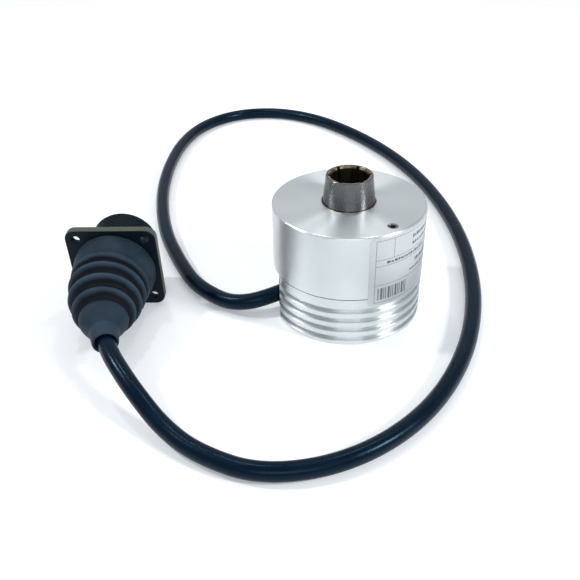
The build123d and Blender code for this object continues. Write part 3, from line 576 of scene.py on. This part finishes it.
def barrel_rows(rows_per_pitch=10):
    """Heights and radii along the barrel; the third value is the share of the thread that is there."""
    root = BARREL_R - THREAD_DEPTH
    start = FLANGE_T + THREAD_GAP
    end = BARREL_END - MOUTH_LEAD
    rows = [
        (REAR_BARREL_END, CAVITY_R, 0.0),
        (REAR_BARREL_END, REAR_BARREL_R, 0.0),
        (FLANGE_T, REAR_BARREL_R, 0.0),
    ]
    count = int((end - start) / (THREAD_PITCH / rows_per_pitch))
    for i in range(count + 1):
        height = start + (end - start) * i / count
        depth = min(1.0, (height - start) / THREAD_FADE_IN, (end - height) / THREAD_FADE_OUT)
        rows.append((height, root, depth))
    mouth = [
        (BARREL_END - MOUTH_CHAMFER, root, 0.0),
        (BARREL_END, root - MOUTH_CHAMFER, 0.0),
        (BARREL_END, CAVITY_R + MOUTH_EDGE, 0.0),
        (BARREL_END - MOUTH_EDGE, CAVITY_R, 0.0),
    ]
    return rows + mouth


def on_flange_rim(vertex):
    """Whether a vertex is on the narrow outer side of the flange plate."""
    edge = (FLANGE / 2 - FLANGE_CORNER_R * 0.4) * MM
    return max(abs(vertex.co.x), abs(vertex.co.y)) > edge and abs(vertex.normal.z) < 0.9


def make_shell(sides=120):
    """The connector's body: bevelled flange and a barrel with a helical thread."""
    build = bmesh.new()
    build.from_mesh(plate_mesh())
    rings = []
    for height, radius, depth in barrel_rows():
        ring = []
        for i in range(sides):
            share = thread_height(height / THREAD_PITCH - i / sides)
            r = radius + THREAD_DEPTH * depth * share
            angle = 2 * math.pi * i / sides
            ring.append(build.verts.new(Vector((r * math.cos(angle), r * math.sin(angle), height)) * MM))
        rings.append(ring)
    join_rings(build, rings + rings[:1])
    bmesh.ops.recalc_face_normals(build, faces=build.faces)
    build.normal_update()
    rim = [1.0 if on_flange_rim(vertex) else 0.0 for vertex in build.verts]
    build.transform(connector_frame())
    mesh = mesh_from(build, "connector_body")
    mesh.attributes.new("rim", "FLOAT", "POINT").data.foreach_set("value", rim)
    shade_smooth(mesh)
    mesh.set_sharp_from_angle(angle=math.radians(35))
    shell = new_piece("connector_body", mesh, "connector_metal")
    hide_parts("connector_shell")
    return shell


# ---------------------------------------------------------------- boot


def boot_point(distance, radius, angle):
    """A point of the boot's skin in the connector's frame, in millimetres."""
    past = max(0.0, distance - BOOT_BEND_START)
    slope = 2 * BOOT_BEND * past
    across = Vector((1.0, 0.0, slope)).normalized()
    centre = Vector((BOOT_BEND * past ** 2, 0.0, -distance))
    return centre + radius * (math.cos(angle) * across + math.sin(angle) * Vector((0.0, 1.0, 0.0)))


def boot_painted_light(distance, radius, outline):
    """How light the boot is painted there, as painted light and shade: 1 on a fold's crest, 0 in a valley,
    and a set tone where there are no folds, lighter on the collar as a painted sheen.
    """
    if distance > BOOT_COLLAR_START:
        return COLLAR_PAINTED_SHEEN
    if distance < BOOT_RIM_END or distance > BOOT_CONE_START:
        return SMOOTH_TONE
    near = [r for s, r in outline if abs(s - distance) < FOLD_REACH]
    return (radius - min(near)) / max(LEAST_RELIEF, max(near) - min(near))


def make_boot(sides=128):
    """The bellows boot, with the painted light and shade of each vertex as an attribute."""
    outline = smooth_curve(BOOT_PROFILE, 4)
    to_world = connector_frame()
    build = bmesh.new()
    rings = []
    fold_light = []
    for distance, radius in outline:
        points = [boot_point(distance, radius, 2 * math.pi * i / sides) for i in range(sides)]
        rings.append([build.verts.new(to_world @ (point * MM)) for point in points])
        fold_light += [boot_painted_light(distance, radius, outline)] * sides
    join_rings(build, rings)
    bmesh.ops.recalc_face_normals(build, faces=build.faces)
    mesh = mesh_from(build, "cable_boot_skin")
    mesh.attributes.new("crest", "FLOAT", "POINT").data.foreach_set("value", fold_light)
    shade_smooth(mesh)
    boot = new_piece("cable_boot_skin", mesh, "boot_rubber")
    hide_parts("cable_boot")
    return boot


# ---------------------------------------------------------------- cable


def make_cable():
    """The cable, a curve through the route of the CAD model."""
    curve = bpy.data.curves.new("cable_line", "CURVE")
    curve.dimensions = "3D"
    curve.resolution_u = 24
    curve.bevel_depth = CABLE_R * MM
    curve.bevel_resolution = 8
    curve.use_fill_caps = True
    spline = curve.splines.new("NURBS")
    spline.points.add(len(CABLE_ROUTE) - 1)
    for point, place in zip(spline.points, CABLE_ROUTE):
        point.co = (*(Vector(place) * MM), 1.0)
    spline.order_u = 3
    spline.use_endpoint_u = True
    cable = new_piece("cable_line", curve, "cable_jacket")
    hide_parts("cable")
    return cable


# ---------------------------------------------------------------- label


def on_label(along, height, lift):
    """A point on the label, from millimetres along it, its height and its lift off the housing."""
    angle = math.radians(LABEL_START) + along / BODY_R
    radius = BODY_R + lift
    return Vector((radius * math.cos(angle), radius * math.sin(angle), height)) * MM


def label_length():
    return math.radians(LABEL_ARC) * BODY_R


def label_stations(corner_steps=6, middle_steps=90):
    """Distances along the label where it has a section, closer together at its rounded corners."""
    length = label_length()
    first = [LABEL_CORNER * (1 - math.cos(math.pi / 2 * i / corner_steps)) for i in range(corner_steps + 1)]
    run = length - 2 * LABEL_CORNER
    middle = [LABEL_CORNER + run * i / middle_steps for i in range(1, middle_steps)]
    return first + middle + [length - along for along in reversed(first)]


def make_label_foil():
    """The foil, with rounded corners."""
    length = label_length()
    build = bmesh.new()
    sections = []
    for along in label_stations():
        edge = LABEL_CORNER - min(LABEL_CORNER, along, length - along)
        inset = LABEL_CORNER - math.sqrt(max(0.0, LABEL_CORNER ** 2 - edge ** 2))
        low = LABEL_Z0 + inset
        high = LABEL_Z1 - inset
        corners = ((low, LABEL_LIFT), (low, LABEL_T), (high, LABEL_T), (high, LABEL_LIFT))
        sections.append([build.verts.new(on_label(along, z, lift)) for z, lift in corners])
    join_rings(build, sections)
    build.faces.new(sections[0])
    build.faces.new(list(reversed(sections[-1])))
    bmesh.ops.recalc_face_normals(build, faces=build.faces)
    mesh = mesh_from(build, "label_sheet")
    shade_smooth(mesh)
    mesh.set_sharp_from_angle(angle=math.radians(40))
    foil = new_piece("label_sheet", mesh, "label_foil")
    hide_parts("rating_label")


def dashes(start, end, low, high, seed):
    """A row of short dashes in place of writing, of uneven widths, with a blank now and then."""
    found = []
    position = start
    step = seed
    while position < end:
        step = (step * 7 + 3) % 11
        width = 0.55 + 0.09 * step
        if step != 5:
            found.append((position, min(end, position + width), low, high - 0.25 * (step % 2)))
        position += width + DASH_GAP
    return found


def bars():
    """A strip of upright bars."""
    found = []
    position = BARS_START
    for i in range(BAR_COUNT):
        width = BAR_WIDTHS[(i * 5 + i // 3) % len(BAR_WIDTHS)]
        found.append((position, position + width, BARS_LOW, BARS_HIGH))
        position += width + BAR_GAPS[(i * 2 + 1) % len(BAR_GAPS)]
    return found


def upright_rule(along, low, high):
    return (along, along + RULE_W, low, high)


def print_layout():
    """Patches of ink as (from, to, low, high): a generic ruled form with bars and rows of dashes."""
    left = PRINT_MARGIN
    right = label_length() - PRINT_MARGIN
    patches = [(left, right, z, z + RULE_W) for z in (PRINT_LOW, PRINT_HIGH, *RULED_ROWS)]
    patches += [upright_rule(along, PRINT_LOW, PRINT_HIGH) for along in (left, right)]
    patches += [upright_rule(along, RULED_ROWS[0], PRINT_HIGH) for along in TOP_COLUMNS]
    patches.append(upright_rule(MIDDLE_COLUMN, RULED_ROWS[1], RULED_ROWS[0]))
    patches.append(upright_rule(LOWER_COLUMN, PRINT_LOW, RULED_ROWS[2]))
    for row in DASH_ROWS:
        patches += dashes(*row)
    return patches + bars()


def make_label_print(longest=0.8):
    """The print, as thin patches that follow the housing's curve in steps no longer than the longest."""
    lift = LABEL_T + INK_LIFT
    build = bmesh.new()
    for start, end, low, high in print_layout():
        steps = max(1, math.ceil((end - start) / longest))
        stations = [start + (end - start) * i / steps for i in range(steps + 1)]
        pairs = [[build.verts.new(on_label(along, z, lift)) for z in (low, high)] for along in stations]
        for pair, following in zip(pairs, pairs[1:]):
            build.faces.new((pair[0], following[0], following[1], pair[1]))
    new_piece("label_print", mesh_from(build, "label_print"), "black_plastic", label_ink())


# ---------------------------------------------------------------- stage, light, camera


def make_floor(half=3.0):
    """A square floor, in metres."""
    mesh = bpy.data.meshes.new("floor")
    corners = [(-half, -half, 0), (half, -half, 0), (half, half, 0), (-half, half, 0)]
    mesh.from_pydata(corners, [], [(0, 1, 2, 3)])
    mesh.materials.append(floor_paper())
    add_object("floor", mesh)


def add_area(name, place, size, watts, target=(0.0, 0.0, 0.0)):
    """A rectangular lamp that faces its target; lengths in metres."""
    light = bpy.data.lights.new(name, "AREA")
    light.shape = "RECTANGLE"
    light.size, light.size_y = size
    light.energy = watts
    lamp = add_object(name, light)
    lamp.location = place
    lamp.rotation_euler = (Vector(target) - Vector(place)).to_track_quat("-Z", "Y").to_euler()


def make_light():
    """An even surround, wide lamps behind and in front, and small ones overhead and at the sides."""
    world = bpy.data.worlds.new("studio")
    world.use_nodes = True
    background = world.node_tree.nodes["Background"]
    background.inputs["Color"].default_value = (0.86, 0.90, 0.95, 1.0)
    background.inputs["Strength"].default_value = 0.53
    bpy.context.scene.world = world
    add_area("back", (0.0, 1.5, 1.05), (2.6, 0.9), 2.2)
    add_area("over_left", (-0.2, 0.33, 0.95), (0.06, 0.06), 1.1)
    add_area("over_right", (0.22, 0.35, 0.95), (0.06, 0.06), 0.8)
    add_area("front", (0.0, -1.1, 0.75), (0.9, 0.4), 3.4)
    add_area("left", (-0.75, 0.1, 0.85), (0.06, 0.06), 3.8, target=(-0.05, 0.0, 0.0))
    add_area("right", (0.8, -0.4, 0.65), (0.16, 0.16), 6.5)


def make_camera():
    """A camera in front of the encoder and above it, tilted down and turned slightly about its view."""
    place_mm = (-22.86, -236.41, 166.49)
    look_down = 34.17
    roll = -1.386
    camera = bpy.data.cameras.new("camera")
    camera.sensor_width = 36.0
    camera.lens = 43.67
    holder = add_object("camera", camera)
    pitch_turn = Matrix.Rotation(math.radians(90.0 - look_down), 4, "X")
    roll_turn = Matrix.Rotation(math.radians(roll), 4, "Z")
    holder.matrix_world = Matrix.Translation(Vector(place_mm) * MM) @ pitch_turn @ roll_turn
    bpy.context.scene.camera = holder


def main():
    bpy.context.scene.view_settings.view_transform = "Standard"
    dress_nodes()
    boot = make_boot()
    cable = make_cable()
    make_label_foil()
    make_label_print()
    inside = ("connector_insert", "contact_pins", "insert_ring", "boot_leads", "boot_cable_end")
    on_cable = [boot, make_shell(), *(NODES[name] for name in inside)]
    make_floor()
    make_light()
    make_camera()


main()
